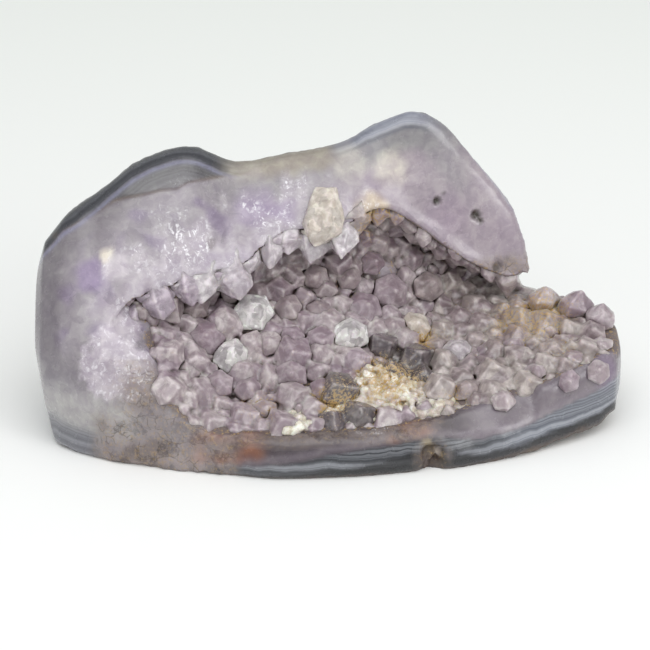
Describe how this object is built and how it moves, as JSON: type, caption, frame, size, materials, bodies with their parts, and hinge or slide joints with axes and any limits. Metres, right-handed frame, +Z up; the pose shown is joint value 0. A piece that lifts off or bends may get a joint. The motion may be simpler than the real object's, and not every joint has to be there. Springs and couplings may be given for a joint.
{
  "type": "amethyst geode with a polished chalcedony rim",
  "caption": "Polished amethyst geode lying on its side: a banded chalcedony wall that opens in a wide mouth onto a hollow lined with hexagonal quartz points.",
  "frame": {"origin": "centre of the bounding box at the table the stone rests on", "axes": "+Z up as it rests, +X to the right along its length as seen looking into the mouth, +Y away from the mouth"},
  "size_m": [0.1146, 0.0576, 0.058],
  "materials": {
    "chalcedony": "polished, banded grey-blue to lavender",
    "amethyst_quartz": "frosted translucent lavender crystal",
    "clear_quartz": "translucent whitish crystal"
  },
  "bodies": {
    "root": {"back_point_a": "amethyst_quartz", "back_point_b": "amethyst_quartz", "back_point_c": "amethyst_quartz", "back_point_d": "amethyst_quartz", "back_point_e": "amethyst_quartz", "back_point_f": "amethyst_quartz", "beige_lip_point": "clear_quartz", "beige_point": "clear_quartz", "bright_point": "clear_quartz", "clear_point": "clear_quartz", "dusty_hexagon": "amethyst_quartz", "floor_point_a": "amethyst_quartz", "floor_point_b": "amethyst_quartz", "floor_point_c": "amethyst_quartz", "floor_point_d": "amethyst_quartz", "floor_point_e": "amethyst_quartz", "floor_point_f": "amethyst_quartz", "floor_point_g": "amethyst_quartz", "floor_point_h": "amethyst_quartz", "floor_point_i": "amethyst_quartz", "floor_point_j": "amethyst_quartz", "floor_point_k": "amethyst_quartz", "floor_point_l": "amethyst_quartz", "floor_point_m": "amethyst_quartz", "geode_wall": "chalcedony", "grey_lip_point": "amethyst_quartz", "grey_point": "amethyst_quartz", "hexagon_point_left": "amethyst_quartz", "hexagon_point_right": "amethyst_quartz", "lavender_point": "amethyst_quartz", "lip_point_a": "amethyst_quartz", "lip_point_b": "amethyst_quartz", "lip_point_c": "amethyst_quartz", "lip_point_d": "amethyst_quartz", "lip_point_e": "amethyst_quartz", "pale_point": "clear_quartz", "round_point": "amethyst_quartz", "shelf_edge_point_a": "amethyst_quartz", "shelf_edge_point_b": "amethyst_quartz", "shelf_edge_point_c": "amethyst_quartz", "shelf_point_a": "amethyst_quartz", "shelf_point_b": "amethyst_quartz", "shelf_point_c": "amethyst_quartz", "shelf_point_d": "amethyst_quartz", "shelf_point_e": "amethyst_quartz", "shelf_point_f": "amethyst_quartz", "shelf_point_g": "amethyst_quartz", "shelf_point_h": "amethyst_quartz", "shelf_point_i": "amethyst_quartz", "shelf_point_j": "amethyst_quartz", "shelf_point_k": "amethyst_quartz", "tall_grey_point": "amethyst_quartz", "whitish_point": "clear_quartz"}
  },
  "joints": []
}
